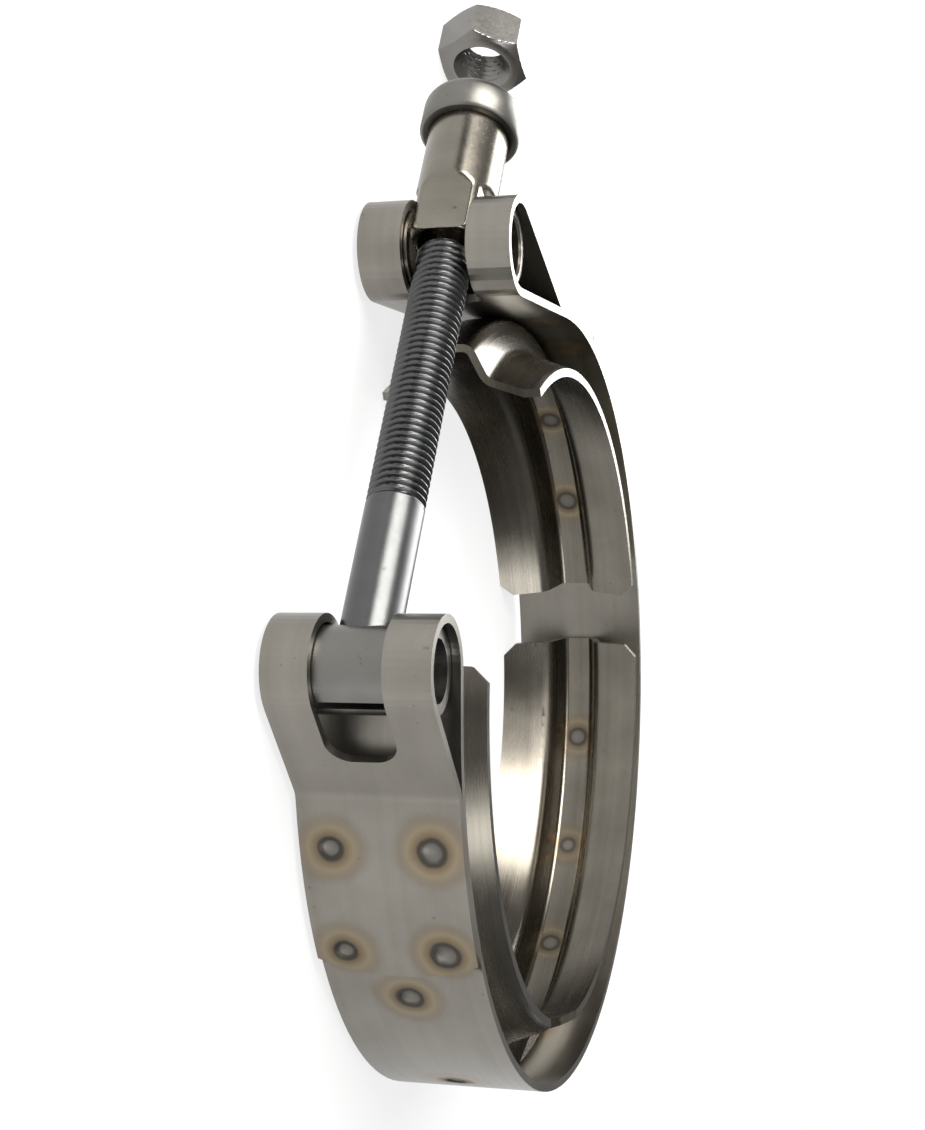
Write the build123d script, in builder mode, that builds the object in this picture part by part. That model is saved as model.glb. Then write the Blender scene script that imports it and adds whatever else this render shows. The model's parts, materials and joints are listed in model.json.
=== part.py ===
from build123d import *
import os
from math import acos, atan2, cos, degrees, radians, sin, sqrt, tan

# A V-band clamp for joining two flanged pipes, opened, with its nut taken off.
# One folded sheet strap carries three V-section retainers on its inside, a T-bolt
# in one end loop and a trunnion sleeve in the other.
# Millimetres. Z is the axis of the ring, and the origin is its centre, half way
# across the strap. Angles are in degrees about Z, from +X towards +Y.

# Strap
strap_outer_radius = 59.0
strap_width = 22.0
strap_thickness = 1.15
loop_bore_radius = 5.95
bolt_loop_radius = 65.3      # from the ring's axis to the middle of the T-bolt's loop
bolt_loop_angle = -9.35
sleeve_loop_radius = 70.55   # the same for the sleeve's loop
sleeve_loop_angle = -69.8
bend_radius = 3.5            # where a folded end turns down on to the strap
bolt_tab_start = 6.5         # angle where the folded end touches the strap
bolt_tab_sweep = 24.8
sleeve_tab_start = -90.5
sleeve_tab_sweep = 24.0
tab_end_rise = 2.5           # how far the middle of a tab's end stands past its corners

# Slots in the two loops, between their ears
slot_width = 9.5
slot_corner_radius = 3.3
bolt_slot_reach_inner = 4.7  # past the point where the loop meets its inner leg
bolt_slot_reach_outer = 9.2
sleeve_slot_reach_inner = 4.5
sleeve_slot_reach_outer = 8.5

# V-section retainers
retainer_thickness = 1.2
retainer_half_width = 11.9
land_half_width = 2.7
v_depth = 5.2
v_half_angle = 20.0
lip_drop = 2.7               # how far the lip's rim stands inside the foot of the flank
land_corner_radius = 1.5
lip_corner_radius = 2.6
lip_trim = 2.0               # chamfer on the four corners of the lips
weld_seat = 0.05
retainer_spans = {
    "retainer_front": (-11.0, 72.0),
    "retainer_bottom": (87.0, 183.6),
    "retainer_top": (194.0, 294.0),
}

# Spot welds
weld_radius = 1.5
weld_depth = 0.25
weld_first_and_pitch = {
    "retainer_front": (9.5, 27.0, 3),
    "retainer_bottom": (104.2, 20.4, 4),
    "retainer_top": (210.6, 18.5, 3),
}
tab_weld_inset = 3.9         # from a tab's end corners, in degrees
tab_weld_pitch = 14.8
tab_weld_half_spacing = 6.8

# T-bolt, its rolled barrel and the trunnion that takes it
bolt_radius = 3.95
bolt_plain_length = 24.0
bolt_end_clearance = 0.5
bolt_end_chamfer = 0.9
thread_relief = 0.05
barrel_clearance = 0.35
barrel_wall = 1.5
barrel_recess = 1.2          # the barrel's ends lie this far inside the strap's edges
barrel_slit = 1.3
barrel_slit_angle = 172.0    # from the bolt's heading
seat_clearance = 0.05
bore_clearance = 0.25

# Trunnion sleeve and its collar
sleeve_radius = 5.9
sleeve_base_gap = 0.55       # from the loop's outside to the sleeve's foot
neck_clearance = 0.25
neck_cone_height = 1.6
sleeve_reach = 27.3          # from the loop's middle to the collar's top face
collar_radius = 7.35
collar_height = 6.0
collar_crown = 1.8
collar_foot_chamfer = 0.4
collar_top_wall = 1.4

# Nut
nut_across_flats = 13.0
nut_height = 7.4
nut_bore_radius = 3.55
nut_chamfer_angle = 30.0
nut_face_radius = 5.9
nut_centre_x = -17.8
nut_centre_y = -101.9

ORIGIN = Vector(0, 0, 0)
strap_mid_radius = strap_outer_radius - strap_thickness / 2
tab_mid_radius = strap_outer_radius + strap_thickness / 2
tab_outer_radius = strap_outer_radius + strap_thickness
loop_mid_radius = loop_bore_radius + strap_thickness / 2
loop_outer_radius = loop_bore_radius + strap_thickness


def polar(radius, angle, height=0.0):
    """The point at a radius and an angle about Z."""
    return Vector(radius * cos(radians(angle)), radius * sin(radians(angle)), height)


def heading(start, end):
    """The direction from one point to another, as an angle about Z."""
    return degrees(atan2(end.Y - start.Y, end.X - start.X))


def crossing_normal(centre_a, radius_a, centre_b, radius_b, turn):
    """The direction from circle a's centre to where a line that crosses between the
    circles touches it; from circle b's centre the line is touched the other way."""
    apart = (centre_b - centre_a).length
    return heading(centre_a, centre_b) + turn * degrees(acos((radius_a + radius_b) / apart))


def upright_plane(origin, angle):
    """A plane whose normal points along an angle about Z and whose x runs along Z."""
    return Plane(origin=origin, x_dir=(0, 0, 1), z_dir=polar(1, angle))


class FoldedEnd:
    """One end of the strap: inner leg, loop, outer leg, bend and tab, worked out so
    that each stretch runs smoothly into the next."""

    def __init__(self, pivot, tab_start, tab_sweep, turn):
        self.pivot = pivot
        self.tab_start = tab_start
        self.tab_sweep = turn * tab_sweep
        self.turn = turn
        self.bend_centre = polar(tab_mid_radius + bend_radius, tab_start)
        self.inner = crossing_normal(ORIGIN, strap_mid_radius, pivot, loop_mid_radius, turn)
        self.outer = crossing_normal(self.bend_centre, bend_radius, pivot, loop_mid_radius, -turn)
        self.inner_touch = pivot - polar(loop_mid_radius, self.inner)
        self.outer_touch = pivot - polar(loop_mid_radius, self.outer)
        self.inner_foot = polar(strap_mid_radius, self.inner)
        self.outer_foot = self.bend_centre + polar(bend_radius, self.outer)

    def draw_legs_and_loop(self):
        """The mid-line from the ring to the bend, in the open line context."""
        loop_sweep = self.turn * ((self.turn * (self.outer - self.inner)) % 360)
        Line(self.inner_foot, self.inner_touch)
        CenterArc(self.pivot, loop_mid_radius, self.inner + 180, loop_sweep)
        Line(self.outer_touch, self.outer_foot)

    def draw_bend_and_tab(self):
        """The mid-line from the outer leg's foot to the end of the tab."""
        bend_sweep = (self.tab_start - self.outer) % 360 - 180
        CenterArc(self.bend_centre, bend_radius, self.outer, bend_sweep)
        CenterArc(ORIGIN, tab_mid_radius, self.tab_start, self.tab_sweep)

    def tab_end(self):
        """The angle where the middle of the tab's end lies."""
        return self.tab_start + self.tab_sweep

    def covers(self, angle):
        """Whether the strap's outside is under this tab at an angle."""
        past_start = (self.turn * (angle - self.tab_start)) % 360
        return past_start < abs(self.tab_sweep) + degrees(weld_radius / strap_outer_radius)


bolt_pivot = polar(bolt_loop_radius, bolt_loop_angle)
sleeve_pivot = polar(sleeve_loop_radius, sleeve_loop_angle)
bolt_heading = heading(bolt_pivot, sleeve_pivot)
pivot_distance = (sleeve_pivot - bolt_pivot).length
bolt_end = FoldedEnd(bolt_pivot, bolt_tab_start, bolt_tab_sweep, 1)
sleeve_end = FoldedEnd(sleeve_pivot, sleeve_tab_start, sleeve_tab_sweep, -1)


def weld_angles(name):
    """The angles of a retainer's spot welds."""
    first, pitch, count = weld_first_and_pitch[name]
    return [first + pitch * step for step in range(count)]


def tab_weld_places(folded_end):
    """The angle and height of the four spot welds that hold a tab down."""
    outermost = folded_end.tab_end() - folded_end.turn * tab_weld_inset
    angles = [outermost, outermost - folded_end.turn * tab_weld_pitch]
    heights = [-tab_weld_half_spacing, tab_weld_half_spacing]
    return [(angle, height) for angle in angles for height in heights]


def press_weld_mark(surface_radius, angle, height, outward=True):
    """A shallow dimple pressed into the open part by a spot welder's tip."""
    facing = angle if outward else angle + 180
    with BuildSketch(upright_plane(polar(surface_radius, angle, height), facing)) as mark:
        Circle(weld_radius)
    extrude(mark.sketch, amount=-weld_depth, taper=45, mode=Mode.SUBTRACT)


def cut_leg_slot(touch, foot, normal, reach):
    """The rounded end of a loop's slot, cut square through the leg that runs from
    the loop's touch point to its foot."""
    leg_plane = Plane(origin=touch, x_dir=foot - touch, z_dir=polar(1, normal))
    with BuildSketch(leg_plane) as slot_end:
        with Locations(((reach - slot_corner_radius) / 2, 0)):
            RectangleRounded(reach + slot_corner_radius, slot_width, slot_corner_radius)
    extrude(slot_end.sketch, amount=strap_thickness, both=True, mode=Mode.SUBTRACT)


def cut_loop_slot(folded_end, inner_reach, outer_reach):
    """The whole slot between a loop's two ears, with its rounded ends in the legs."""
    with BuildSketch(Plane.XY) as loop_disc:
        with Locations(folded_end.pivot):
            Circle(loop_outer_radius + strap_thickness / 4)
    extrude(loop_disc.sketch, amount=slot_width / 2, both=True, mode=Mode.SUBTRACT)
    cut_leg_slot(folded_end.inner_touch, folded_end.inner_foot, folded_end.inner, inner_reach)
    cut_leg_slot(folded_end.outer_touch, folded_end.outer_foot, folded_end.outer, outer_reach)


def cut_tab_end(folded_end):
    """Round off a tab's end: what lies past the bulge is cut away down to the strap."""
    half_width = strap_width / 2
    bulge_radius = (half_width**2 + tab_end_rise**2) / (2 * tab_end_rise)
    along = polar(1, folded_end.tab_end() + 90 * folded_end.turn)
    end_plane = Plane(
        origin=polar(strap_outer_radius, folded_end.tab_end()),
        x_dir=along,
        z_dir=polar(1, folded_end.tab_end()),
    )
    with BuildSketch(end_plane) as past_end:
        with Locations((-tab_end_rise, 0)):
            Rectangle(4 * tab_end_rise, strap_width + 1, align=(Align.MIN, Align.CENTER))
        with Locations((-bulge_radius, 0)):
            Circle(bulge_radius, mode=Mode.SUBTRACT)
    extrude(past_end.sketch, amount=2 * strap_thickness, mode=Mode.SUBTRACT)


# The two tabs, each rounded at its end before it joins the strap
tabs = []
for folded_end in (bolt_end, sleeve_end):
    with BuildPart() as tab:
        with BuildSketch(Plane.XY):
            with BuildLine():
                folded_end.draw_bend_and_tab()
            trace(line_width=strap_thickness)
        extrude(amount=strap_width / 2, both=True)
        cut_tab_end(folded_end)
    tabs.append(tab.part)

# The strap: ring, folded loops and tabs, one piece of sheet
with BuildPart() as band_strap:
    with BuildSketch(Plane.XY):
        with BuildLine():
            ring_sweep = (sleeve_end.inner - bolt_end.inner) % 360
            CenterArc(ORIGIN, strap_mid_radius, bolt_end.inner, ring_sweep)
            bolt_end.draw_legs_and_loop()
            sleeve_end.draw_legs_and_loop()
        trace(line_width=strap_thickness)
    extrude(amount=strap_width / 2, both=True)
    add(tabs)
    cut_loop_slot(bolt_end, bolt_slot_reach_inner, bolt_slot_reach_outer)
    cut_loop_slot(sleeve_end, sleeve_slot_reach_inner, sleeve_slot_reach_outer)
    for name in retainer_spans:
        for angle in weld_angles(name):
            if not (bolt_end.covers(angle) or sleeve_end.covers(angle)):
                press_weld_mark(strap_outer_radius, angle, 0)
    for angle, height in tab_weld_places(bolt_end) + tab_weld_places(sleeve_end):
        press_weld_mark(tab_outer_radius, angle, height)

# Retainers: a flat land, two steep flanks and two flared lips, bent from one sheet
land_radius = strap_outer_radius - strap_thickness - weld_seat
land_mid_radius = land_radius - retainer_thickness / 2
knee_radius = land_mid_radius - v_depth
knee_half_width = land_half_width + v_depth * tan(radians(v_half_angle))
lip_lean = lip_drop / (retainer_half_width - knee_half_width)
blank_half_width = retainer_half_width + retainer_thickness
blank_radius = knee_radius - lip_lean * (blank_half_width - knee_half_width)
section_points = [
    (blank_radius, -blank_half_width),
    (knee_radius, -knee_half_width),
    (land_mid_radius, -land_half_width),
    (land_mid_radius, land_half_width),
    (knee_radius, knee_half_width),
    (blank_radius, blank_half_width),
]
section_bends = [lip_corner_radius, land_corner_radius, land_corner_radius, lip_corner_radius]

retainers = {}
for name, (start, stop) in retainer_spans.items():
    start_plane = Plane(
        origin=(0, 0, 0), x_dir=polar(1, start), z_dir=polar(1, start - 90)
    )
    with BuildPart() as retainer:
        with BuildSketch(start_plane):
            with BuildLine():
                FilletPolyline(*section_points, radius=section_bends)
            trace(line_width=retainer_thickness)
            Rectangle(2 * strap_outer_radius, 2 * retainer_half_width, mode=Mode.INTERSECT)
        revolve(axis=Axis.Z, revolution_arc=stop - start)
        rims = retainer.faces().filter_by(GeomType.PLANE).filter_by(Axis.Z)
        chamfer(rims.edges().filter_by(GeomType.LINE), length=lip_trim)
        for angle in weld_angles(name):
            press_weld_mark(land_radius - retainer_thickness, angle, 0, outward=False)
    retainer.part.label = name
    retainers[name] = retainer.part


def rolled_barrel(pivot, slit_angle, holes):
    """A rolled tube along Z inside a loop, open along a slit, with round holes of the
    given radius through its wall along the given headings."""
    outer_radius = loop_bore_radius - barrel_clearance
    with BuildPart() as barrel:
        with BuildSketch(Plane.XY):
            with Locations(pivot):
                Circle(outer_radius)
                Circle(outer_radius - barrel_wall, mode=Mode.SUBTRACT)
            slit_middle = pivot + polar(outer_radius, slit_angle)
            with Locations(Location(slit_middle, (0, 0, slit_angle))):
                Rectangle(3 * barrel_wall, barrel_slit, mode=Mode.SUBTRACT)
        extrude(amount=strap_width / 2 - barrel_recess, both=True)
        for angle, hole_radius in holes:
            with BuildSketch(upright_plane(pivot, angle)):
                Circle(hole_radius)
            extrude(amount=loop_outer_radius, mode=Mode.SUBTRACT)
    return barrel.part


# The T-bolt's rolled barrel, with the hole that its shank is fixed in
bolt_barrel = rolled_barrel(
    bolt_pivot,
    bolt_heading + barrel_slit_angle,
    [(bolt_heading, bolt_radius + seat_clearance)],
)
bolt_barrel.label = "bolt_barrel"

# T-bolt: a plain shank, then the threaded stretch up to the trunnion's mouth
bolt_length = pivot_distance - (loop_bore_radius - barrel_clearance) - bolt_end_clearance
thread_radius = bolt_radius - thread_relief
with BuildPart() as t_bolt:
    with BuildSketch(upright_plane(bolt_pivot, bolt_heading)):
        Circle(bolt_radius)
    extrude(amount=bolt_plain_length)
    with BuildSketch(upright_plane(bolt_pivot, bolt_heading).offset(bolt_plain_length)):
        Circle(thread_radius)
    extrude(amount=bolt_length - bolt_plain_length)
    chamfer(t_bolt.faces().sort_by(Axis(bolt_pivot, polar(1, bolt_heading)))[-1].edges(),
            length=bolt_end_chamfer)
t_bolt.part.label = "t_bolt"

# The trunnion's rolled barrel: the bolt's end goes in on one side, and the sleeve's
# neck stands in the other
neck_radius = slot_width / 2 - neck_clearance
sleeve_bore_radius = bolt_radius + bore_clearance
trunnion_barrel = rolled_barrel(
    sleeve_pivot,
    bolt_heading + 90,
    [
        (bolt_heading, neck_radius + seat_clearance),
        (bolt_heading + 180, sleeve_bore_radius),
    ],
)
trunnion_barrel.label = "trunnion_barrel"

# Sleeve: neck through the loop's slot, short cone, tube with the bolt's bore
barrel_inner_radius = loop_bore_radius - barrel_clearance - barrel_wall
sleeve_foot = loop_outer_radius + sleeve_base_gap
collar_foot = sleeve_reach - collar_height
sleeve_plane = Plane(
    origin=sleeve_pivot, x_dir=(0, 0, 1), z_dir=polar(1, bolt_heading + 90)
)
with BuildPart() as trunnion_sleeve:
    with BuildSketch(sleeve_plane):
        with BuildLine():
            Polyline(
                (sleeve_bore_radius, barrel_inner_radius / 2),
                (neck_radius, barrel_inner_radius / 2),
                (neck_radius, sleeve_foot),
                (sleeve_radius, sleeve_foot + neck_cone_height),
                (sleeve_radius, sleeve_reach - collar_top_wall),
                (sleeve_bore_radius, sleeve_reach - collar_top_wall),
                close=True,
            )
        make_face()
    revolve(axis=Axis(sleeve_pivot, polar(1, bolt_heading)))
trunnion_sleeve.part.label = "trunnion_sleeve"

# Collar: a cap-shaped ring pressed on the sleeve's top, with a crowned rim
with BuildPart() as sleeve_collar:
    with BuildSketch(upright_plane(sleeve_pivot, bolt_heading).offset(collar_foot)):
        Circle(collar_radius)
        Circle(sleeve_radius + seat_clearance, mode=Mode.SUBTRACT)
    extrude(amount=collar_height)
    with BuildSketch(upright_plane(sleeve_pivot, bolt_heading).offset(sleeve_reach)):
        Circle(collar_radius)
        Circle(sleeve_bore_radius, mode=Mode.SUBTRACT)
    extrude(amount=-collar_top_wall + seat_clearance)
    along_bolt = Axis(sleeve_pivot, polar(1, bolt_heading))
    rims = sleeve_collar.edges().filter_by(GeomType.CIRCLE).group_by(SortBy.RADIUS)[-1]
    fillet(rims.sort_by(along_bolt)[-1], radius=collar_crown)
    rims = sleeve_collar.edges().filter_by(GeomType.CIRCLE).group_by(SortBy.RADIUS)[-1]
    chamfer(rims.sort_by(along_bolt)[0], length=collar_foot_chamfer)
sleeve_collar.part.label = "sleeve_collar"

# Nut, taken off and standing on one of its flats
nut_corner_radius = nut_across_flats / 2 / cos(radians(30))
nut_middle = Vector(nut_centre_x, nut_centre_y, nut_across_flats / 2 - retainer_half_width)
nut_base = nut_middle - polar(nut_height / 2, bolt_heading)
nut_chamfer_height = (nut_corner_radius - nut_face_radius) * tan(radians(nut_chamfer_angle))
with BuildPart() as hex_nut:
    with BuildSketch(upright_plane(nut_base, bolt_heading)):
        RegularPolygon(nut_across_flats / 2, side_count=6, major_radius=False, rotation=30)
        Circle(nut_bore_radius, mode=Mode.SUBTRACT)
    extrude(amount=nut_height)
    nut_plane = Plane(origin=nut_base, x_dir=(0, 0, 1), z_dir=polar(1, bolt_heading + 90))
    with BuildSketch(nut_plane):
        with BuildLine():
            Polyline(
                (0, 0),
                (nut_face_radius, 0),
                (nut_corner_radius, nut_chamfer_height),
                (nut_corner_radius, nut_height - nut_chamfer_height),
                (nut_face_radius, nut_height),
                (0, nut_height),
                close=True,
            )
        make_face()
    revolve(axis=Axis(nut_base, polar(1, bolt_heading)), mode=Mode.INTERSECT)
    bore_rims = hex_nut.edges().filter_by(GeomType.CIRCLE).group_by(SortBy.RADIUS)[0]
    chamfer(bore_rims, length=bolt_radius - nut_bore_radius)
hex_nut.part.label = "hex_nut"

os.makedirs("parts", exist_ok=True)
export_step(band_strap.part, "parts/band_strap.step")
for name, retainer_part in retainers.items():
    export_step(retainer_part, f"parts/{name}.step")
export_step(t_bolt.part, "parts/t_bolt.step")
export_step(bolt_barrel, "parts/bolt_barrel.step")
export_step(trunnion_barrel, "parts/trunnion_barrel.step")
export_step(trunnion_sleeve.part, "parts/trunnion_sleeve.step")
export_step(sleeve_collar.part, "parts/sleeve_collar.step")
export_step(hex_nut.part, "parts/hex_nut.step")
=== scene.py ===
"""Looks of an opened V-band clamp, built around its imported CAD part.

The strap, its three retainers, the rolled barrel and the collar are smooth copies of the
CAD solids. The threaded bolt, the trunnion tee and the nut are made here, because their
threads and formed edges are finer than the solids. Sizes in the classes are millimetres
in the CAD frame, and meshes are written in metres.
"""

import json
import logging
from dataclasses import dataclass, field
from enum import Enum
from math import cos, radians, sin, tan
from typing import Dict, List, Optional, Sequence, Tuple

import bmesh
import bpy
import numpy as np
from mathutils import Matrix, Vector

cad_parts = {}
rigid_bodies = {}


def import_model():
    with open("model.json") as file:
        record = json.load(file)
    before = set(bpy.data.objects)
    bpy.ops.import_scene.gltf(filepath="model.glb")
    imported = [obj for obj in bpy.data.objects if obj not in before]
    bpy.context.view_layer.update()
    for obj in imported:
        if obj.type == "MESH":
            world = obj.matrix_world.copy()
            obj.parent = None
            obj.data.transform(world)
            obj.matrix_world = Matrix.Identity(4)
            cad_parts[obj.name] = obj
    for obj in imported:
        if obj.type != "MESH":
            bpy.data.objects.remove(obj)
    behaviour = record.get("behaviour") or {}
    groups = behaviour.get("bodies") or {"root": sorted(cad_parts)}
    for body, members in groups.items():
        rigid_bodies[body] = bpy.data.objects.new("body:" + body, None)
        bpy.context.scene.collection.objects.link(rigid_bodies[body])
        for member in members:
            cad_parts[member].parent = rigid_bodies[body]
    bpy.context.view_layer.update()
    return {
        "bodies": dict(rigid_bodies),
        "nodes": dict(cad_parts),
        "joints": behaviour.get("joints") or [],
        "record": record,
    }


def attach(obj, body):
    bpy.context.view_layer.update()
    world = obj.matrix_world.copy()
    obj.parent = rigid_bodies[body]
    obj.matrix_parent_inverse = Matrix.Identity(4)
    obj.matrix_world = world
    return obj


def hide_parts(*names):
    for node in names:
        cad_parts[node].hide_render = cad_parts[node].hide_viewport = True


log = logging.getLogger("v_band_clamp")

MM = 0.001
MERGE_DISTANCE = 2e-6  # metres, below every edge that is meant
SLIVER_LENGTH = 1e-7  # metres, edges shorter than this are dissolved
ROUND_TOLERANCE = 0.012  # millimetres off a cylinder that still counts as on it
ROUND_LEAN = 9.0  # degrees a facet may lean from the cylinder's own normal
Point = Tuple[float, float, float]
Colour = Tuple[float, float, float]


class Body(Enum):
    """The CAD bodies that pieces ride on."""

    BAND = "band"
    BOLT = "bolt"
    TRUNNION = "trunnion"


class Lay(Enum):
    """Which way a metal's fine grain runs, as noise cells per metre along X, Y and Z."""

    ALONG_BAND = (60.0, 60.0, 5200.0)
    ROUND_BOLT = (2600.0, 2600.0, 900.0)
    EVEN = (1500.0, 1500.0, 1500.0)


# ---------------------------------------------------------------- mesh helpers


def polar(radius: float, angle: float, height: float = 0.0) -> Point:
    """The point at a radius, an angle in degrees about Z and a height."""
    return (radius * cos(radians(angle)), radius * sin(radians(angle)), height)


def grid_faces(rows: int, columns: int, close_rows: bool) -> np.ndarray:
    """Quads of a grid whose columns run round and close on themselves.

    Corner indices are row * columns + column, each taken with its next neighbour.

    Args:
        rows: number of rings.
        columns: points on each ring.
        close_rows: whether the last ring joins the first one.

    Returns:
        An array of four corner indices for each quad.
    """
    count = rows if close_rows else rows - 1
    row = np.arange(count)[:, None]
    column = np.arange(columns)[None, :]
    next_row = (row + 1) % rows
    next_column = (column + 1) % columns
    corners = [
        row * columns + column,
        row * columns + next_column,
        next_row * columns + next_column,
        next_row * columns + column,
    ]
    return np.stack(corners, axis=-1).reshape(-1, 4)


def turned_points(
    origin: np.ndarray, axis: np.ndarray, along: np.ndarray, radii: np.ndarray
) -> np.ndarray:
    """Points of rings round an axis: origin + along * axis + radius * spoke(angle).

    The spoke starts at +Z for an axis that lies flat, and at +X for an upright one, and
    turns once round the axis over the ring's columns.

    Args:
        origin: a point on the axis.
        axis: the unit vector along it.
        along: place of each ring along the axis, or of each point.
        radii: radius of each point, rings by columns.

    Returns:
        The points, ring after ring.
    """
    start = np.array([0.0, 0.0, 1.0]) if abs(axis[2]) < 0.5 else np.array([1.0, 0.0, 0.0])
    across = np.cross(axis, start)
    angle = np.linspace(0, 2 * np.pi, radii.shape[1], endpoint=False)
    spokes = np.cos(angle)[:, None] * start + np.sin(angle)[:, None] * across
    along = np.broadcast_to(along.reshape(len(radii), -1), radii.shape)
    points = origin + along[..., None] * axis + radii[..., None] * spokes[None]
    return points.reshape(-1, 3)


def settle_mesh(mesh: bpy.types.Mesh, sharp: float) -> None:
    """Merge doubles, turn faces outwards and shade smooth up to an angle.

    Args:
        mesh: the mesh to finish.
        sharp: degrees past which an edge stays crisp.
    """
    work = bmesh.new()
    work.from_mesh(mesh)
    bmesh.ops.remove_doubles(work, verts=work.verts, dist=MERGE_DISTANCE)
    bmesh.ops.dissolve_degenerate(work, edges=work.edges, dist=SLIVER_LENGTH)
    bmesh.ops.recalc_face_normals(work, faces=work.faces)
    work.to_mesh(mesh)
    work.free()
    mesh.polygons.foreach_set("use_smooth", np.ones(len(mesh.polygons), bool))
    mesh.set_sharp_from_angle(angle=radians(sharp))
    mesh.update()


def make_piece(
    name: str, shells: Sequence[Tuple[np.ndarray, np.ndarray]], sharp: float
) -> bpy.types.Object:
    """One mesh object from shells of points in millimetres and their faces.

    Args:
        name: the piece's name.
        shells: pairs of points and quads.
        sharp: degrees past which an edge stays crisp.

    Returns:
        The new object, linked to the scene.
    """
    offsets = np.cumsum([0] + [len(points) for points, _ in shells[:-1]])
    points = np.concatenate([points for points, _ in shells]) * MM
    faces = np.concatenate([quads + start for (_, quads), start in zip(shells, offsets)])
    mesh = bpy.data.meshes.new(name)
    mesh.from_pydata(points.tolist(), [], faces.tolist())
    settle_mesh(mesh, sharp)
    piece = bpy.data.objects.new(name, mesh)
    bpy.context.scene.collection.objects.link(piece)
    return piece


def true_round_normals(mesh: bpy.types.Mesh, radii: Sequence[float]) -> None:
    """Give faces that lie on a cylinder about Z the cylinder's own normals.

    A corner at one of the radii, on a face that looks straight out or in within
    ROUND_LEAN degrees, takes the normal (x, y, 0) / radius, with the face's own sign.

    Args:
        mesh: the mesh to shade.
        radii: the cylinders' radii in millimetres.
    """
    count = len(mesh.loops)
    corner_vertex = np.empty(count, np.int32)
    mesh.loops.foreach_get("vertex_index", corner_vertex)
    points = np.empty(len(mesh.vertices) * 3)
    mesh.vertices.foreach_get("co", points)
    points = points.reshape(-1, 3)[corner_vertex]
    normals = np.empty(count * 3, np.float32)
    mesh.corner_normals.foreach_get("vector", normals)
    normals = normals.reshape(-1, 3)
    sizes = np.empty(len(mesh.polygons), np.int32)
    mesh.polygons.foreach_get("loop_total", sizes)
    faces = np.empty(len(mesh.polygons) * 3, np.float32)
    mesh.polygons.foreach_get("normal", faces)
    faces = np.repeat(faces.reshape(-1, 3), sizes, axis=0)
    reach = np.hypot(points[:, 0], points[:, 1])
    outward = np.stack([points[:, 0] / reach, points[:, 1] / reach, np.zeros(count)], axis=1)
    facing = (faces * outward).sum(1)
    near = np.abs(reach[:, None] / MM - np.array(radii)[None, :]).min(1) < ROUND_TOLERANCE
    chosen = near & (np.abs(facing) > cos(radians(ROUND_LEAN)))
    normals[chosen] = (outward * np.sign(facing)[:, None])[chosen]
    mesh.normals_split_custom_set(normals.tolist())


def smooth_copy(
    frame: Dict, node: str, name: str, body: Body, sharp: float
) -> bpy.types.Object:
    """A merged, smoothly shaded copy of a CAD node, shown in its stead.

    Args:
        node: the CAD node's name.
        name: the new piece's name.
        body: the body it rides on.
        sharp: degrees past which an edge stays crisp.

    Returns:
        The new piece.
    """
    mesh = frame["nodes"][node].data.copy()
    mesh.name = name
    mesh.materials.clear()
    settle_mesh(mesh, sharp)
    piece = bpy.data.objects.new(name, mesh)
    bpy.context.scene.collection.objects.link(piece)
    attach(piece, body.value)
    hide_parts(node)
    return piece


# ------------------------------------------------------------- shader building


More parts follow.
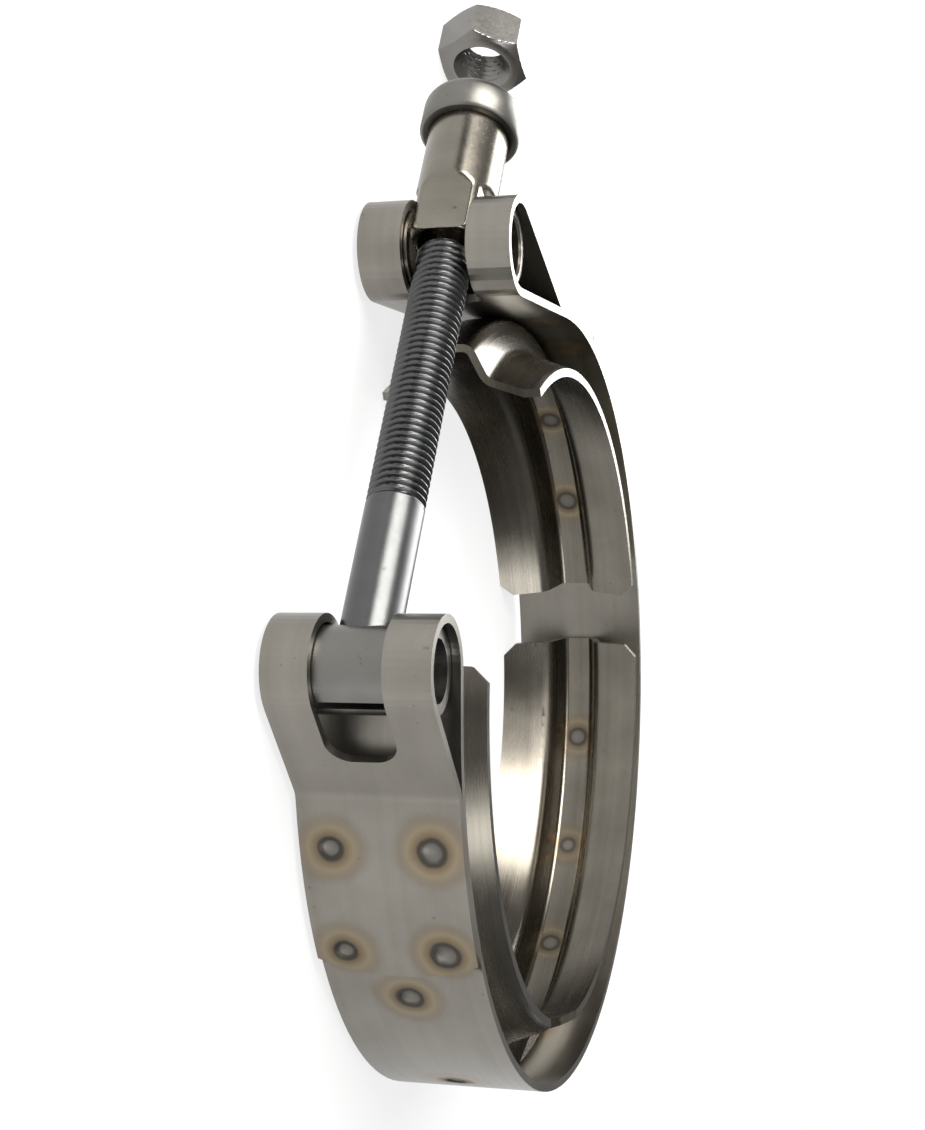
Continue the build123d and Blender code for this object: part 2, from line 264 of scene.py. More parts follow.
class NodeDesk:
    """Adds nodes to a tree and links them, for short material code."""

    def __init__(self, tree: bpy.types.NodeTree) -> None:
        """Keep the tree that nodes go to."""
        self.tree = tree

    def add(self, kind: str, **values: object) -> bpy.types.Node:
        """A new node with attributes set.

        Args:
            kind: the node's type name.
            values: attributes of the node.

        Returns:
            The node.
        """
        node = self.tree.nodes.new(kind)
        for key, value in values.items():
            setattr(node, key, value)
        return node

    def feed(self, socket: bpy.types.NodeSocket, source: object) -> None:
        """Link a socket to a source socket, or set its value.

        Args:
            socket: the input to feed.
            source: an output socket, or a value.
        """
        if isinstance(source, bpy.types.NodeSocket):
            self.tree.links.new(source, socket)
        else:
            socket.default_value = source

    def math(
        self, operation: str, *sources: object, clamp: bool = False
    ) -> bpy.types.NodeSocket:
        """A Math node's result.

        Args:
            operation: the operation's name.
            sources: numbers or sockets, in order.
            clamp: whether the result is kept from 0 to 1.

        Returns:
            The output socket.
        """
        node = self.add("ShaderNodeMath", operation=operation, use_clamp=clamp)
        for socket, source in zip(node.inputs, sources):
            self.feed(socket, source)
        return node.outputs[0]

    def vector(self, operation: str, *sources: object) -> bpy.types.Node:
        """A Vector Math node fed in order.

        Args:
            operation: the operation's name.
            sources: vectors or sockets, in order.

        Returns:
            The node.
        """
        node = self.add("ShaderNodeVectorMath", operation=operation)
        for socket, source in zip(node.inputs, sources):
            self.feed(socket, source)
        return node

    def mix(self, factor: object, first: object, second: object) -> bpy.types.NodeSocket:
        """A colour mix.

        Args:
            factor: share of the second colour.
            first: the colour at 0.
            second: the colour at 1.

        Returns:
            The mixed colour's socket.
        """
        node = self.add("ShaderNodeMix", data_type="RGBA")
        self.feed(node.inputs["Factor"], factor)
        self.feed(node.inputs[6], first)
        self.feed(node.inputs[7], second)
        return node.outputs[2]

    def noise(self, vector: object, scale: float, detail: float) -> bpy.types.NodeSocket:
        """A noise value on a vector.

        Args:
            vector: where the noise is read.
            scale: its scale.
            detail: its octaves.

        Returns:
            The value's socket, about a half.
        """
        node = self.add("ShaderNodeTexNoise")
        self.feed(node.inputs["Vector"], vector)
        node.inputs["Scale"].default_value = scale
        node.inputs["Detail"].default_value = detail
        return node.outputs["Fac"]

    def soft_step(
        self, value: bpy.types.NodeSocket, start: Tuple[float, float], end: Tuple[float, float]
    ) -> bpy.types.NodeSocket:
        """A smooth step between two points, each an input and its output.

        Args:
            value: the input.
            start: where the step starts, and its value up to there.
            end: where it ends, and its value from there on.

        Returns:
            The step's socket.
        """
        node = self.add("ShaderNodeMapRange", interpolation_type="SMOOTHSTEP")
        self.feed(node.inputs["Value"], value)
        node.inputs["From Min"].default_value, node.inputs["To Min"].default_value = start
        node.inputs["From Max"].default_value, node.inputs["To Max"].default_value = end
        return node.outputs["Result"]


def new_group(
    name: str, inputs: Sequence[Tuple[str, str]], outputs: Sequence[Tuple[str, str]]
) -> bpy.types.NodeTree:
    """An empty shader group with named sockets.

    Args:
        name: the group's name.
        inputs: pairs of socket name and socket type.
        outputs: the same for the outputs.

    Returns:
        The group's tree.
    """
    tree = bpy.data.node_groups.new(name, "ShaderNodeTree")
    for label, kind in inputs:
        tree.interface.new_socket(name=label, in_out="INPUT", socket_type=kind)
    for label, kind in outputs:
        tree.interface.new_socket(name=label, in_out="OUTPUT", socket_type=kind)
    tree.nodes.new("NodeGroupInput").name = "in"
    tree.nodes.new("NodeGroupOutput").name = "out"
    return tree


class Effects:
    """The shader groups that several metals share."""

    streak_scale = 0.12
    cloud_scale = 95.0
    speck_scale = 900.0
    speck_floor = 0.7
    speck_gain = 6.0
    # Painted shade: the dark band from 0.22 to 0.28 darkens each weld dimple's sloping rim. The
    # centre is plain grey, and the outer bands are oxide tint.
    heat_and_rim_shade_stops = (
        (0.0, (0.19, 0.18, 0.165)),
        (0.17, (0.15, 0.14, 0.125)),
        (0.22, (0.05, 0.045, 0.04)),
        (0.28, (0.04, 0.033, 0.026)),
        (0.34, (0.15, 0.115, 0.075)),
        (0.52, (0.25, 0.20, 0.125)),
        (0.74, (0.15, 0.105, 0.062)),
        (1.0, (0.2, 0.17, 0.13)),
    )
    heat_and_rim_shade_fade = ((0.35, 1.0), (1.0, 0.0))
    dull_fade = ((0.2, 1.0), (0.6, 0.0))

    def __init__(self) -> None:
        """Build each group once."""
        self.grain = self._build_grain()
        self.heat_and_rim_shade = self._build_heat_and_rim_shade()
        self.handling = self._build_handling()

    def _build_grain(self) -> bpy.types.NodeTree:
        """Fine lines: noise on the position stretched by a lay vector, about zero.

        Returns:
            The group.
        """
        tree = new_group(
            "brushed grain",
            [("Position", "NodeSocketVector"), ("Lay", "NodeSocketVector")],
            [("Lines", "NodeSocketFloat"), ("Streaks", "NodeSocketFloat")],
        )
        desk = NodeDesk(tree)
        source, sink = tree.nodes["in"], tree.nodes["out"]
        stretched = desk.vector("MULTIPLY", source.outputs["Position"], source.outputs["Lay"])
        lines = desk.noise(stretched.outputs[0], 1.0, 3.0)
        streaks = desk.noise(stretched.outputs[0], self.streak_scale, 2.0)
        desk.feed(sink.inputs["Lines"], desk.math("SUBTRACT", lines, 0.5))
        desk.feed(sink.inputs["Streaks"], desk.math("SUBTRACT", streaks, 0.5))
        return tree

    def _build_heat_and_rim_shade(self) -> bpy.types.NodeTree:
        """Rings of colour by distance from a spot weld, over its reach: a plain centre, then a
        dark ring of painted shade on the dimple's sloping rim, then oxide tint.

        Returns:
            The group.
        """
        # The group paints oxide tint and painted shade on each dimple's rim.
        tree = new_group(
            "weld heat and rim shade",
            [(label, "NodeSocketFloat") for label in ("Distance", "Waver", "Reach")],
            [
                ("Colour", "NodeSocketColor"),
                ("Amount", "NodeSocketFloat"),
                ("Dull", "NodeSocketFloat"),
            ],
        )
        desk = NodeDesk(tree)
        source, sink = tree.nodes["in"], tree.nodes["out"]
        share = desk.math("DIVIDE", source.outputs["Distance"], source.outputs["Reach"])
        share = desk.math("ADD", share, source.outputs["Waver"], clamp=True)
        colours = desk.add("ShaderNodeValToRGB")
        place_stops(colours.color_ramp, self.heat_and_rim_shade_stops)
        desk.feed(colours.inputs[0], share)
        desk.feed(sink.inputs["Colour"], colours.outputs["Color"])
        desk.feed(sink.inputs["Amount"], desk.soft_step(share, *self.heat_and_rim_shade_fade))
        desk.feed(sink.inputs["Dull"], desk.soft_step(share, *self.dull_fade))
        return tree

    def _build_handling(self) -> bpy.types.NodeTree:
        """Soft clouds of handling and faint specks, from two noises on the position.

        Returns:
            The group.
        """
        tree = new_group(
            "handling marks",
            [("Position", "NodeSocketVector")],
            [("Cloud", "NodeSocketFloat"), ("Specks", "NodeSocketFloat")],
        )
        desk = NodeDesk(tree)
        source, sink = tree.nodes["in"], tree.nodes["out"]
        cloud = desk.noise(source.outputs["Position"], self.cloud_scale, 4.0)
        specks = desk.noise(source.outputs["Position"], self.speck_scale, 2.0)
        above = desk.math("SUBTRACT", specks, self.speck_floor)
        picked = desk.math("MULTIPLY", above, self.speck_gain, clamp=True)
        desk.feed(sink.inputs["Cloud"], desk.math("SUBTRACT", cloud, 0.5))
        desk.feed(sink.inputs["Specks"], picked)
        return tree


def place_stops(ramp: bpy.types.ColorRamp, stops: Sequence[Tuple[float, Colour]]) -> None:
    """Put colour stops on a ramp.

    Args:
        ramp: the ramp to fill.
        stops: pairs of place and colour, lowest first.
    """
    while len(ramp.elements) < len(stops):
        ramp.elements.new(0.5)
    for element, (place, colour) in zip(ramp.elements, stops):
        element.position = place
        element.color = (*colour, 1.0)


@dataclass(frozen=True)
class MetalFinish:
    """A bare metal: its colour, gloss, grain, and the heat marks of its welds with painted shade
    on each dimple's rim.
    """

    name: str
    colour: Colour
    shade: Colour
    roughness: float
    lay: Lay = Lay.ALONG_BAND
    grain_gloss: float = 0.16
    grain_colour: float = 0.22
    relief: float = 0.25
    cloud_colour: float = 0.45
    cloud_gloss: float = 0.12
    relief_depth: float = 0.02
    speck_shade: float = 0.5
    weld_reach: float = 6.4
    weld_strength: float = 0.9
    weld_waver: float = 0.3
    weld_dullness: float = 0.18

    def build(self, effects: Effects, welds: Sequence[Point] = ()) -> bpy.types.Material:
        """The material, with heat tint and painted shade on the dimple rims about weld centres.

        The distance to the nearest weld is the least of the distances to each centre.

        Args:
            effects: the shared shader groups.
            welds: weld centres in millimetres.

        Returns:
            The material.
        """
        material = bpy.data.materials.new(self.name)
        material.use_nodes = True
        desk = NodeDesk(material.node_tree)
        shader = material.node_tree.nodes["Principled BSDF"]
        shader.inputs["Metallic"].default_value = 1.0
        position = desk.add("ShaderNodeTexCoord").outputs["Object"]

        grain = desk.add("ShaderNodeGroup", node_tree=effects.grain)
        desk.feed(grain.inputs["Position"], position)
        grain.inputs["Lay"].default_value = self.lay.value
        handling = desk.add("ShaderNodeGroup", node_tree=effects.handling)
        desk.feed(handling.inputs["Position"], position)

        uneven = desk.math("MULTIPLY", handling.outputs["Cloud"], 2 * self.cloud_colour)
        lined = desk.math("MULTIPLY", grain.outputs["Streaks"], 2 * self.grain_colour)
        share = desk.math("ADD", desk.math("ADD", uneven, lined), 0.5, clamp=True)
        colour = desk.mix(share, (*self.shade, 1.0), (*self.colour, 1.0))
        dark = tuple(self.speck_shade * part for part in self.shade)
        colour = desk.mix(handling.outputs["Specks"], colour, (*dark, 1.0))
        gloss = desk.math("MULTIPLY", grain.outputs["Lines"], self.grain_gloss)
        smeared = desk.math("MULTIPLY", handling.outputs["Cloud"], self.cloud_gloss)
        gloss = desk.math("ADD", desk.math("ADD", gloss, smeared), self.roughness)

        # Heat tint round each weld, with painted shade on the dimple's rim.
        if welds:
            cloud = handling.outputs["Cloud"]
            colour, gloss = self._tint(desk, effects, position, cloud, welds, colour, gloss)
        desk.feed(shader.inputs["Base Color"], colour)
        desk.feed(shader.inputs["Roughness"], gloss)

        bump = desk.add("ShaderNodeBump")
        bump.inputs["Strength"].default_value = self.relief
        bump.inputs["Distance"].default_value = self.relief_depth * MM
        desk.feed(bump.inputs["Height"], grain.outputs["Lines"])
        desk.feed(shader.inputs["Normal"], bump.outputs["Normal"])
        return material

    def _tint(
        self,
        desk: NodeDesk,
        effects: Effects,
        position: bpy.types.NodeSocket,
        cloud: bpy.types.NodeSocket,
        welds: Sequence[Point],
        colour: bpy.types.NodeSocket,
        gloss: bpy.types.NodeSocket,
    ) -> Tuple[bpy.types.NodeSocket, bpy.types.NodeSocket]:
        """Lay the weld heat tint, with painted shade on each dimple's rim, over a colour and a
        roughness.

        Args:
            desk: the material's desk.
            effects: the shared shader groups.
            position: the object position socket.
            cloud: the handling cloud, which makes the rings waver.
            welds: weld centres in millimetres.
            colour: the metal's colour so far.
            gloss: its roughness so far.

        Returns:
            The tinted colour and the duller roughness.
        """
        nearest: object = 1.0
        for place in welds:
            centre = tuple(value * MM for value in place)
            reach = desk.vector("DISTANCE", position, centre).outputs["Value"]
            nearest = desk.math("MINIMUM", reach, nearest)
        heat_and_rim_shade = desk.add("ShaderNodeGroup", node_tree=effects.heat_and_rim_shade)
        desk.feed(heat_and_rim_shade.inputs["Distance"], nearest)
        desk.feed(heat_and_rim_shade.inputs["Waver"], desk.math("MULTIPLY", cloud, self.weld_waver))
        heat_and_rim_shade.inputs["Reach"].default_value = self.weld_reach * MM
        amount = desk.math("MULTIPLY", heat_and_rim_shade.outputs["Amount"], self.weld_strength)
        tinted = desk.mix(amount, colour, heat_and_rim_shade.outputs["Colour"])
        dullness = desk.math("MULTIPLY", heat_and_rim_shade.outputs["Dull"], self.weld_dullness)
        return tinted, desk.math("ADD", gloss, dullness)


STRAP = MetalFinish("satin strap steel", (0.29, 0.275, 0.245), (0.165, 0.155, 0.135), 0.33)
RETAINER = MetalFinish(
    "rolled retainer steel",
    (0.245, 0.225, 0.19),
    (0.085, 0.078, 0.064),
    0.26,
    weld_reach=5.4,
    weld_strength=0.7,
)
BOLT = MetalFinish(
    "drawn bolt steel",
    (0.125, 0.127, 0.126),
    (0.075, 0.077, 0.077),
    0.31,
    Lay.ROUND_BOLT,
    relief=0.12,
)
BARREL = MetalFinish(
    "rolled barrel steel", (0.22, 0.215, 0.2), (0.13, 0.125, 0.115), 0.34, Lay.EVEN, relief=0.15
)
SLEEVE = MetalFinish(
    "formed sleeve steel",
    (0.27, 0.25, 0.215),
    (0.13, 0.12, 0.10),
    0.25,
    Lay.ROUND_BOLT,
    relief=0.15,
)
COLLAR = MetalFinish(
    "pressed collar steel", (0.2, 0.195, 0.18), (0.12, 0.115, 0.105), 0.38, Lay.EVEN, relief=0.3
)
NUT = MetalFinish("machined nut steel", (0.26, 0.25, 0.235), (0.15, 0.145, 0.135), 0.32, Lay.EVEN)


# ----------------------------------------------------------------- the clamp


@dataclass
class Line:
    """A flat axis through the frame's joints: where it starts and where it points."""

    start: np.ndarray
    axis: np.ndarray


@dataclass
class ThreadedBolt:
    """The T-bolt: a plain shank and a fine thread up to the tee's mouth."""

    line: Line
    length: float = 68.0
    radius: float = 3.95
    plain_length: float = 24.0
    pitch: float = 1.06
    thread_depth: float = 0.58
    root_flat: float = 0.18
    flank_share: float = 0.66
    end_chamfer: float = 1.0
    tip_radius: float = 0.01
    plain_rings: int = 12
    ring_gap: float = 0.01
    steps_per_pitch: int = 12
    columns: int = 96
    crisp: float = 50.0

    def radii(self, along: np.ndarray) -> np.ndarray:
        """Radius of each point of the rings.

        With phase = along / pitch - angle / 360, the wave |2 * fraction(phase) - 1| is cut
        flat at crest and root. The thread fades in over one pitch, and the end is a cone.

        Args:
            along: place of each ring from the loop's middle.

        Returns:
            Radii, rings by columns.
        """
        turn = np.linspace(0, 1, self.columns, endpoint=False)
        phase = along[:, None] / self.pitch - turn[None, :]
        wave = np.abs(2 * (phase - np.floor(phase)) - 1)
        crest = np.clip((wave - self.root_flat) / self.flank_share, 0, 1)
        started = np.clip((along - self.plain_length) / self.pitch, 0, 1)[:, None]
        radii = self.radius - self.thread_depth * (1 - crest) * started
        cone = self.radius + self.length - self.end_chamfer - along[:, None]
        return np.minimum(radii, np.maximum(cone, self.tip_radius))

    def build(self) -> bpy.types.Object:
        """Make the bolt, from the middle of its barrel to its tip.

        Returns:
            The bolt's object.
        """
        turns = (self.length - self.plain_length) / self.pitch
        steps = int(turns * self.steps_per_pitch)
        threaded = np.linspace(self.plain_length, self.length, steps)
        plain = np.linspace(0.0, self.plain_length - self.ring_gap, self.plain_rings)
        along = np.concatenate([plain, threaded])
        radii = self.radii(along)
        along = np.concatenate([along[:1], along, along[-1:]])
        pole = np.zeros((1, self.columns))
        radii = np.concatenate([pole, radii, pole])
        points = turned_points(self.line.start, self.line.axis, along, radii)
        shell = (points, grid_faces(len(radii), self.columns, False))
        return make_piece("threaded_bolt", [shell], self.crisp)

    def dress(self, piece: bpy.types.Object, effects: Effects) -> None:
        """Give the bolt its steel and its body.

        Args:
            piece: the bolt's object.
            effects: the shared shader groups.
        """
        piece.data.materials.append(BOLT.build(effects))
        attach(piece, Body.BOLT.value)
        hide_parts("t_bolt")


@dataclass
class TrunnionTee:
    """A tube that stands on a cross tube, formed in one piece, with a rolled mouth."""

    line: Line
    tube_radius: float = 5.9
    tube_bore: float = 4.2
    tube_top: float = 25.85
    neck_half_width: float = 4.55
    neck_top: float = 8.0
    shoulder: float = 1.8
    cross_radius: float = 5.6
    cross_bore: float = 4.1
    cross_end: float = 9.8
    edge: float = 0.35
    edge_middle: float = 0.3
    stub_overlap: float = 0.3
    mouth_rings: int = 13
    outside_rings: int = 60
    bore_rings: int = 12
    columns: int = 96
    crisp: float = 40.0

    def tube(self) -> Tuple[np.ndarray, np.ndarray]:
        """The standing tube, with flat sides where it passes between the ears.

        A point's distance from the axis, along Z and across it, is clipped to the neck's
        half width, which grows to the tube's radius by 3t^2 - 2t^3 over the shoulder. The
        mouth is a half circle between the outside and the bore.

        Returns:
            Points and quads.
        """
        wall = self.tube_radius - self.tube_bore
        mouth = np.linspace(0, np.pi, self.mouth_rings)
        lip_along = wall / 2 * (1 - np.sin(mouth))
        lip_radius = self.tube_bore + wall / 2 * (1 - np.cos(mouth))
        outside = np.linspace(wall / 2, self.tube_top, self.outside_rings)[1:]
        inside = np.linspace(self.tube_top, wall / 2, self.bore_rings)[:-1]
        along = np.concatenate([lip_along, outside, inside])
        tube = np.full(len(outside), self.tube_radius)
        bore = np.full(len(inside), self.tube_bore)
        ring = np.concatenate([lip_radius, tube, bore])
        radii = np.repeat(ring[:, None], self.columns, axis=1)
        points = turned_points(self.line.start, self.line.axis, along, radii)
        grown = np.clip((along - self.neck_top) / self.shoulder, 0, 1)
        grown = grown * grown * (3 - 2 * grown)
        limit = self.neck_half_width + (self.tube_radius - self.neck_half_width) * grown
        limit = np.repeat(limit, self.columns)
        points[:, 2] = np.clip(points[:, 2], -limit, limit)
        across = np.cross(self.line.axis, [0.0, 0.0, 1.0])
        aside = (points - self.line.start) @ across
        points += (np.clip(aside, -limit, limit) - aside)[:, None] * across
        return points, grid_faces(len(radii), self.columns, True)

    def cross_stub(self, side: int) -> Tuple[np.ndarray, np.ndarray]:
        """One end of the cross tube: a square ring section with eased edges, turned about Z.

        Args:
            side: +1 or -1, which ear it sits in.

        Returns:
            Points and quads.
        """
        ease = self.edge
        middle = self.edge_middle * ease
        inner_end = self.neck_half_width - self.stub_overlap
        section = [
            (inner_end, self.cross_bore),
            (inner_end, self.cross_radius),
            (self.cross_end - ease, self.cross_radius),
            (self.cross_end - middle, self.cross_radius - middle),
            (self.cross_end, self.cross_radius - ease),
            (self.cross_end, self.cross_bore + ease),
            (self.cross_end - ease, self.cross_bore),
        ]
        along, ring = np.array(section).T
        along = along * side
        radii = np.repeat(ring[:, None], self.columns, axis=1)
        upright = np.array([0.0, 0.0, 1.0])
        points = turned_points(self.line.start, upright, along, radii)
        return points, grid_faces(len(radii), self.columns, True)

    def build(self) -> bpy.types.Object:
        """Make the tee.

        Returns:
            The tee's object.
        """
        shells = [self.tube(), self.cross_stub(1), self.cross_stub(-1)]
        return make_piece("trunnion_tee", shells, self.crisp)

    def dress(self, piece: bpy.types.Object, effects: Effects) -> None:
        """Give the tee its steel and its body.

        Args:
            piece: the tee's object.
            effects: the shared shader groups.
        """
        piece.data.materials.append(SLEEVE.build(effects))
        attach(piece, Body.TRUNNION.value)
        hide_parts("trunnion_barrel", "trunnion_sleeve")


@dataclass
class HexNut:
    """The nut, taken off and standing on one flat."""

    line: Line
    apothem: float = 6.5
    height: float = 7.4
    face_radius: float = 5.9
    chamfer_angle: float = 30.0
    crest_radius: float = 3.5
    root_radius: float = 4.02
    mouth: float = 0.55
    pitch: float = 1.06
    chamfered_reach: float = 1.2
    face_rings: int = 11
    bore_rings: int = 88
    columns: int = 192
    crisp: float = 32.0

    def build(self) -> bpy.types.Object:
        """Make the nut as one closed loop of rings: outside, top, thread and foot.

        The outside is the smaller of apothem / cos(angle from the nearest flat) and a cone
        from each face. The thread is the bolt's wave between crest and root, opened by a
        cone at both mouths.

        Returns:
            The nut's object.
        """
        turn = np.linspace(0, 1, self.columns, endpoint=False)
        off_flat = np.radians((turn * 360 + 30) % 60 - 30)
        hexagon = self.apothem / np.cos(off_flat)
        lower = np.linspace(0, self.chamfered_reach, self.face_rings)
        upper = np.linspace(self.height - self.chamfered_reach, self.height, self.face_rings)
        rise = np.concatenate([lower, upper])
        from_face = np.minimum(rise, self.height - rise)
        cone = self.face_radius + from_face / tan(radians(self.chamfer_angle))
        outside = np.minimum(hexagon[None, :], cone[:, None])
        fall = np.linspace(self.height, 0, self.bore_rings)
        phase = fall[:, None] / self.pitch - turn[None, :]
        wave = np.abs(2 * (phase - np.floor(phase)) - 1)
        thread = self.crest_radius + (self.root_radius - self.crest_radius) * wave
        opened = self.root_radius + self.mouth - np.minimum(fall, self.height - fall)
        bore = np.maximum(thread, opened[:, None])
        along = np.concatenate([rise, fall]) - self.height / 2
        radii = np.concatenate([outside, bore])
        points = turned_points(self.line.start, self.line.axis, along, radii)
        shell = (points, grid_faces(len(radii), self.columns, True))
        return make_piece("threaded_nut", [shell], self.crisp)

    def dress(self, piece: bpy.types.Object, effects: Effects) -> None:
        """Give the nut its steel and its body.

        Args:
            piece: the nut's object.
            effects: the shared shader groups.
        """
        piece.data.materials.append(NUT.build(effects))
        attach(piece, Body.BAND.value)
        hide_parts("hex_nut")


@dataclass
class Band:
    """Strap, retainers, rolled barrel and collar, as smooth copies of the CAD solids."""

    strap_radius: float = 59.0
    tab_radius: float = 60.15
    land_radius: float = 56.6
    open_weld_angles: Tuple[float, ...] = (36.5, 63.5, 104.2, 124.6, 145.0, 165.4, 210.6, 229.1)
    covered_weld_angles: Tuple[float, ...] = (9.5, 247.6)
    tab_weld_angles: Tuple[float, ...] = (12.6, 27.4, -95.8, -110.6)
    tab_weld_height: float = 6.8
    strap_surfaces: Tuple[float, ...] = (57.85, 59.0, 60.15)
    land_surfaces: Tuple[float, ...] = (56.6, 57.8)
    sheet_crisp: float = 24.0
    turned_crisp: float = 30.0
    copies: Tuple[Tuple[str, str, Body], ...] = (
        ("bolt_barrel", "barrel_steel", Body.BOLT),
        ("sleeve_collar", "collar_steel", Body.TRUNNION),
    )
    pieces: List[bpy.types.Object] = field(default_factory=list)

    def strap_welds(self) -> List[Point]:
        """Weld centres on the strap's outside and on its two tabs.

        Returns:
            Points in millimetres.
        """
        places = [polar(self.strap_radius, angle) for angle in self.open_weld_angles]
        for angle in self.tab_weld_angles:
            for side in (1, -1):
                places.append(polar(self.tab_radius, angle, side * self.tab_weld_height))
        return places

    def land_welds(self) -> List[Point]:
        """Weld centres on the retainers' lands, also where a tab covers the strap."""
        angles = self.open_weld_angles + self.covered_weld_angles
        return [polar(self.land_radius, angle) for angle in angles]

    def build(self, frame: Dict, effects: Effects) -> None:
        """Copy, dress and place each solid.

        Args:
            effects: the shared shader groups.
        """
        strap = smooth_copy(frame, "band_strap", "strap", Body.BAND, self.sheet_crisp)
        true_round_normals(strap.data, self.strap_surfaces)
        strap.data.materials.append(STRAP.build(effects, self.strap_welds()))
        self.pieces.append(strap)
        steel = RETAINER.build(effects, self.land_welds())
        for side in ("front", "bottom", "top"):
            node = f"retainer_{side}"
            piece = smooth_copy(frame, node, f"v_{node}", Body.BAND, self.sheet_crisp)
            true_round_normals(piece.data, self.land_surfaces)
            piece.data.materials.append(steel)
            self.pieces.append(piece)
        finishes = {"barrel_steel": BARREL, "collar_steel": COLLAR}
        for node, slot, body in self.copies:
            piece = smooth_copy(frame, node, f"{node}_smooth", body, self.turned_crisp)
            piece.data.materials.append(finishes[slot].build(effects))
            self.pieces.append(piece)


# -------------------------------------------------------------------- studio


@dataclass(frozen=True)
class Softbox:
    """An area lamp aimed at the clamp: square, or a strip if it has a height."""

    name: str
    place: Point
    side: float
    power: float
    colour: Colour = (1.0, 1.0, 1.0)
    height: Optional[float] = None


@dataclass
class Studio:
    """Floor, lamps, world and camera."""

    floor_height: float = -11.92
    floor_half: float = 8.0
    aim: Point = (0.0, -10.0, 0.0)
    camera_place: Point = (302.91, -37.16, 81.61)
    camera_right: Point = (-0.27522, 0.01546, 0.96126)
    camera_up: Point = (-0.05641, -0.99841, -0.00009)
    camera_back: Point = (0.95972, -0.05425, 0.27566)
    focal_pixels: float = 2036.12
    picture_height: int = 1130
    sensor: float = 36.0
    world_level: float = 0.5
    world_stops: Tuple[Tuple[float, Colour], ...] = (
        (0.0, (0.30, 0.30, 0.30)),
        (0.5, (0.16, 0.16, 0.165)),
        (0.62, (0.42, 0.42, 0.42)),
        (1.0, (0.7, 0.7, 0.7)),
    )
    floor_colour: Colour = (0.93, 0.93, 0.93)
    floor_roughness: float = 0.9
    floor_glow: float = 0.78
    glow_reach: Tuple[float, float] = (0.12, 0.55)
    boxes: Tuple[Softbox, ...] = (
        Softbox("key_box", (260.0, -420.0, 330.0), 0.42, 6.5, (1.0, 0.98, 0.95)),
        Softbox("side_strip", (420.0, 330.0, 120.0), 0.16, 1.6, (0.97, 0.985, 1.0), 0.6),
        Softbox("back_box", (-420.0, -160.0, 300.0), 0.4, 4.0),
        Softbox("front_strip", (330.0, -120.0, 420.0), 0.10, 0.5, (1.0, 1.0, 1.0), 0.5),
    )

    def build_floor(self) -> None:
        """A pale floor that keeps soft shadows: part lit, part plain white to the eye."""
        half = self.floor_half
        height = self.floor_height * MM
        sides = ((-half, -half), (half, -half), (half, half), (-half, half))
        corners = [(x, y, height) for x, y in sides]
        mesh = bpy.data.meshes.new("floor")
        mesh.from_pydata(corners, [], [(0, 1, 2, 3)])
        floor = bpy.data.objects.new("floor", mesh)
        bpy.context.scene.collection.objects.link(floor)
        material = bpy.data.materials.new("pale floor")
        material.use_nodes = True
        desk = NodeDesk(material.node_tree)
        shader = material.node_tree.nodes["Principled BSDF"]
        shader.inputs["Base Color"].default_value = (*self.floor_colour, 1.0)
        shader.inputs["Roughness"].default_value = self.floor_roughness
        glow = desk.add("ShaderNodeEmission")
        path = desk.add("ShaderNodeLightPath")
        seen = desk.math("MAXIMUM", path.outputs["Is Camera Ray"], path.outputs["Is Glossy Ray"])
        seen = desk.math("MAXIMUM", seen, path.outputs["Is Transmission Ray"])
        position = desk.add("ShaderNodeTexCoord").outputs["Object"]
        reach = desk.vector("LENGTH", position).outputs["Value"]
        near, far = self.glow_reach
        spread = desk.soft_step(reach, (near, self.floor_glow), (far, 1.0))
        share = desk.math("MULTIPLY", seen, spread)
        mixed = desk.add("ShaderNodeMixShader")
        desk.feed(mixed.inputs[0], share)
        desk.feed(mixed.inputs[1], shader.outputs[0])
        desk.feed(mixed.inputs[2], glow.outputs[0])
        output = material.node_tree.nodes["Material Output"]
        desk.feed(output.inputs["Surface"], mixed.outputs[0])
        mesh.materials.append(material)

    def build_world(self) -> None:
        """A plain grey surround, paler overhead, so metal shows a soft gradient."""
        world = bpy.data.worlds.new("studio")
        world.use_nodes = True
        bpy.context.scene.world = world
        desk = NodeDesk(world.node_tree)
        direction = desk.add("ShaderNodeTexCoord").outputs["Generated"]
        split = desk.add("ShaderNodeSeparateXYZ")
        desk.feed(split.inputs[0], direction)
        ramp = desk.add("ShaderNodeValToRGB")
        place_stops(ramp.color_ramp, self.world_stops)
        height = desk.math("MULTIPLY_ADD", split.outputs["Z"], 0.5, 0.5)
        desk.feed(ramp.inputs[0], height)
        background = world.node_tree.nodes["Background"]
        desk.feed(background.inputs["Color"], ramp.outputs["Color"])
        background.inputs["Strength"].default_value = self.world_level

    def build_boxes(self) -> None:
        """Hang each softbox and aim it at the clamp."""
        for box in self.boxes:
            lamp = bpy.data.lights.new(box.name, "AREA")
            lamp.energy = box.power
            lamp.color = box.colour
            lamp.size = box.side
            if box.height is not None:
                lamp.shape = "RECTANGLE"
                lamp.size_y = box.height
            holder = bpy.data.objects.new(box.name, lamp)
            bpy.context.scene.collection.objects.link(holder)
            holder.location = Vector(box.place) * MM
            away = holder.location - Vector(self.aim) * MM
            holder.rotation_euler = away.to_track_quat("Z", "Y").to_euler()

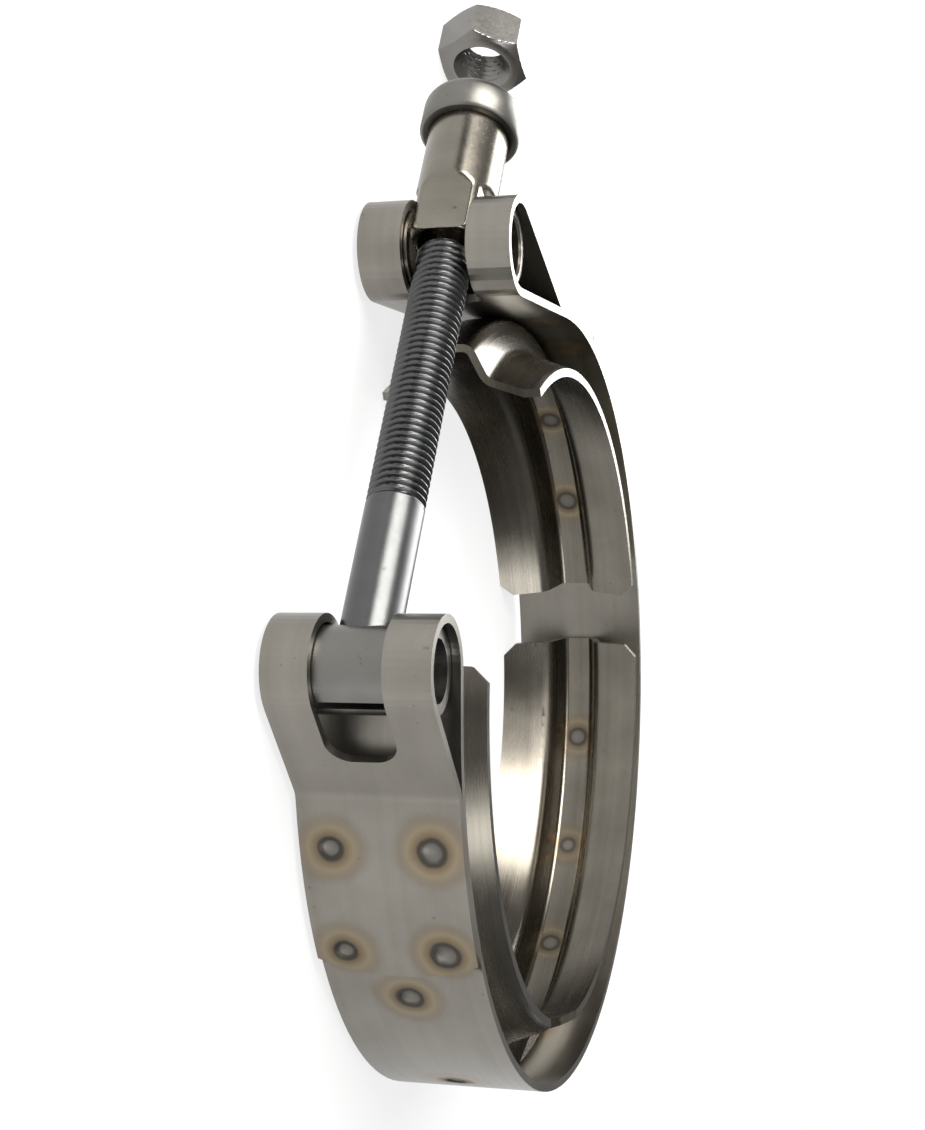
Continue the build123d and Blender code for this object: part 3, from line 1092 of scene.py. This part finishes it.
    def build_camera(self) -> None:
        """Set the camera by its own axes; the long side of the frame is its height."""
        data = bpy.data.cameras.new("camera")
        data.sensor_width = self.sensor
        data.lens = self.focal_pixels / self.picture_height * self.sensor
        data.clip_start, data.clip_end = 0.01, 60.0
        camera = bpy.data.objects.new("camera", data)
        bpy.context.scene.collection.objects.link(camera)
        columns = Matrix((self.camera_right, self.camera_up, self.camera_back)).transposed()
        place = Matrix.Translation(Vector(self.camera_place) * MM)
        camera.matrix_world = place @ columns.to_4x4()
        bpy.context.scene.camera = camera

    def build(self) -> None:
        """Make the whole studio."""
        self.build_floor()
        self.build_world()
        self.build_boxes()
        self.build_camera()
        bpy.context.scene.view_settings.view_transform = "Standard"


def find_lines(frame: Dict) -> Tuple[Line, Line, Line]:
    """The bolt's, the tee's and the nut's axes, from the frame's joints and mounts.

    The bolt points from its own pivot to the sleeve's pivot.


    Returns:
        The three lines, in millimetres.
    """
    pivots = {joint["name"]: np.array(joint["pos_m"]) / MM for joint in frame["joints"]}
    mounts = {mount["name"]: mount for mount in frame["record"]["mounts"]}
    axis = pivots["sleeve_swing"] - pivots["bolt_swing"]
    axis = axis / np.linalg.norm(axis)
    nut = np.array(mounts["nut_bore"]["pos_m"]) / MM
    starts = (pivots["bolt_swing"], pivots["sleeve_swing"], nut)
    bolt_line, tee_line, nut_line = (Line(start, axis) for start in starts)
    return bolt_line, tee_line, nut_line


def main() -> None:
    """Build the clamp and its studio."""
    logging.basicConfig(level=logging.INFO, format="%(name)s: %(message)s")
    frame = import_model()
    effects = Effects()
    bolt_line, tee_line, nut_line = find_lines(frame)
    band = Band()
    band.build(frame, effects)
    for piece in band.pieces:
        log.info("%s: %d faces", piece.name, len(piece.data.polygons))
    for maker in (ThreadedBolt(bolt_line), TrunnionTee(tee_line), HexNut(nut_line)):
        piece = maker.build()
        maker.dress(piece, effects)
        log.info("%s: %d faces", piece.name, len(piece.data.polygons))
    Studio().build()
    bpy.context.view_layer.update()


if __name__ == "__main__":
    main()
